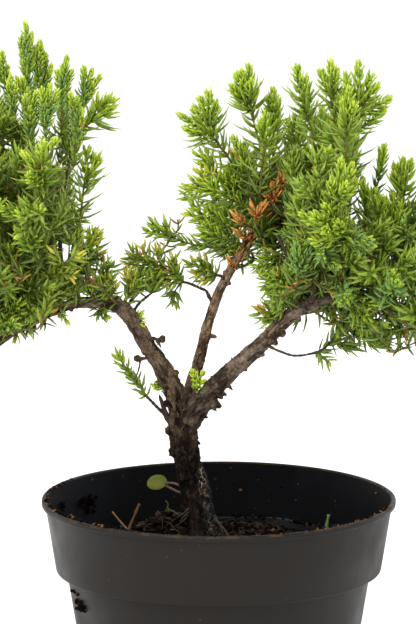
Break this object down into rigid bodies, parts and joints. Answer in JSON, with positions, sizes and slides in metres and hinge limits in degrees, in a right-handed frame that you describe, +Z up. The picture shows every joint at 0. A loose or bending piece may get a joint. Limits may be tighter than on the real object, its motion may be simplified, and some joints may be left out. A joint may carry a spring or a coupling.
{
  "type": "potted juniper shrub",
  "caption": "Young garden juniper with a forked trunk, spreading boughs and domed, needle-leaved foliage, growing in a thin grow pot that stands inside a round plastic nursery pot with a deep collar.",
  "frame": {"origin": "middle of the pot's flat underside", "axes": "+Z up; X across the spread of the two foliage domes, +X to the viewer's right; +Y away from the viewer"},
  "size_m": [0.246, 0.1377, 0.2855],
  "materials": {
    "pot": "satin",
    "soil": "matte",
    "bark": "matte",
    "foliage": "satin"
  },
  "bodies": {
    "root": {"bough_left": "bark", "bough_left_outer": "bark", "bough_middle": "bark", "bough_right": "bark", "bough_right_outer": "bark", "foliage_left_back": "foliage", "foliage_left_end": "foliage", "foliage_left_front": "foliage", "foliage_left_inner": "foliage", "foliage_left_low_back": "foliage", "foliage_left_low_front": "foliage", "foliage_left_low_inner": "foliage", "foliage_left_middle": "foliage", "foliage_left_outer": "foliage", "foliage_left_outer_top": "foliage", "foliage_left_top": "foliage", "foliage_middle_low": "foliage", "foliage_middle_shoot": "foliage", "foliage_right_back": "foliage", "foliage_right_front": "foliage", "foliage_right_hanging": "foliage", "foliage_right_inner_top": "foliage", "foliage_right_low_back": "foliage", "foliage_right_low_front": "foliage", "foliage_right_low_inner": "foliage", "foliage_right_low_middle": "foliage", "foliage_right_middle": "foliage", "foliage_right_outer": "foliage", "foliage_right_outer_high": "foliage", "foliage_right_outer_top": "foliage", "foliage_right_top": "foliage", "grow_pot": "pot", "pot": "pot", "soil": "soil", "sprig_middle": "foliage", "sprig_right": "foliage", "sprig_trunk": "foliage", "trunk": "bark", "twig_right": "bark", "twig_trunk": "bark"}
  },
  "joints": []
}
